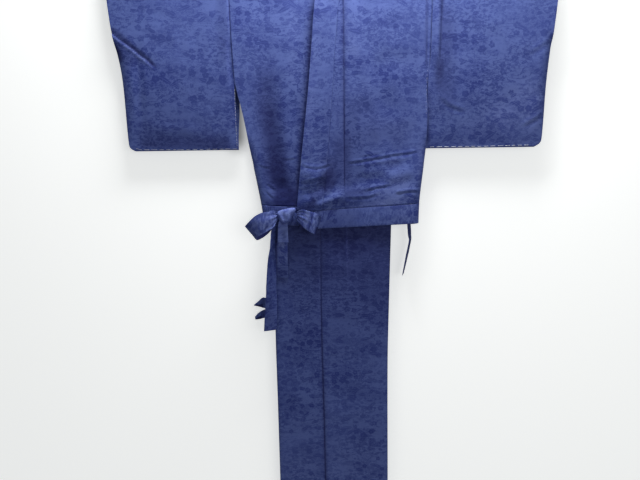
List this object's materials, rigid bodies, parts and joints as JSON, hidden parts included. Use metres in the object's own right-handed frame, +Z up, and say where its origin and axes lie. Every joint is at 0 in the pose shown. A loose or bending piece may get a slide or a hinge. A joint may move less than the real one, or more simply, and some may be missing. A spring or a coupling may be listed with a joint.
{
  "type": "two-piece komon kimono on a kimono hanger",
  "caption": "Short kimono jacket closed by a bow at the hip over a wrap skirt folded in four, hung flat on a long rod hanger with a wire hook",
  "frame": {"origin": "where the hanger's hook bears on its peg", "axes": "+Z up, -Y is the side that the garment's front faces, +X to the viewer's right, which is the wearer's left"},
  "size_m": [1.308, 0.0746, 1.8139],
  "materials": {
    "cloth": "blue-violet satin with a tone-on-tone woven figure",
    "wood": "pale varnished wood",
    "steel": "plated wire"
  },
  "bodies": {
    "root": {"hanger_rod": "wood", "hanger_hook": "steel", "body_left": "cloth", "body_right": "cloth", "sleeve_left": "cloth", "sleeve_right": "cloth", "okumi_left": "cloth", "okumi_right": "cloth", "collar": "cloth", "band_left": "cloth", "band_right": "cloth", "band_back": "cloth", "bow_knot": "cloth", "bow_loop_left": "cloth", "bow_loop_right": "cloth", "tail_short": "cloth", "tail_under": "cloth", "tail_long": "cloth", "tie_root_left": "cloth", "tie_root_right": "cloth", "inner_tie": "cloth", "skirt_okumi": "cloth", "skirt_front": "cloth", "skirt_back": "cloth", "skirt_core": "cloth", "skirt_waistband": "cloth", "skirt_loop_left": "cloth", "skirt_loop_right": "cloth", "skirt_tie_end": "cloth"}
  },
  "joints": []
}
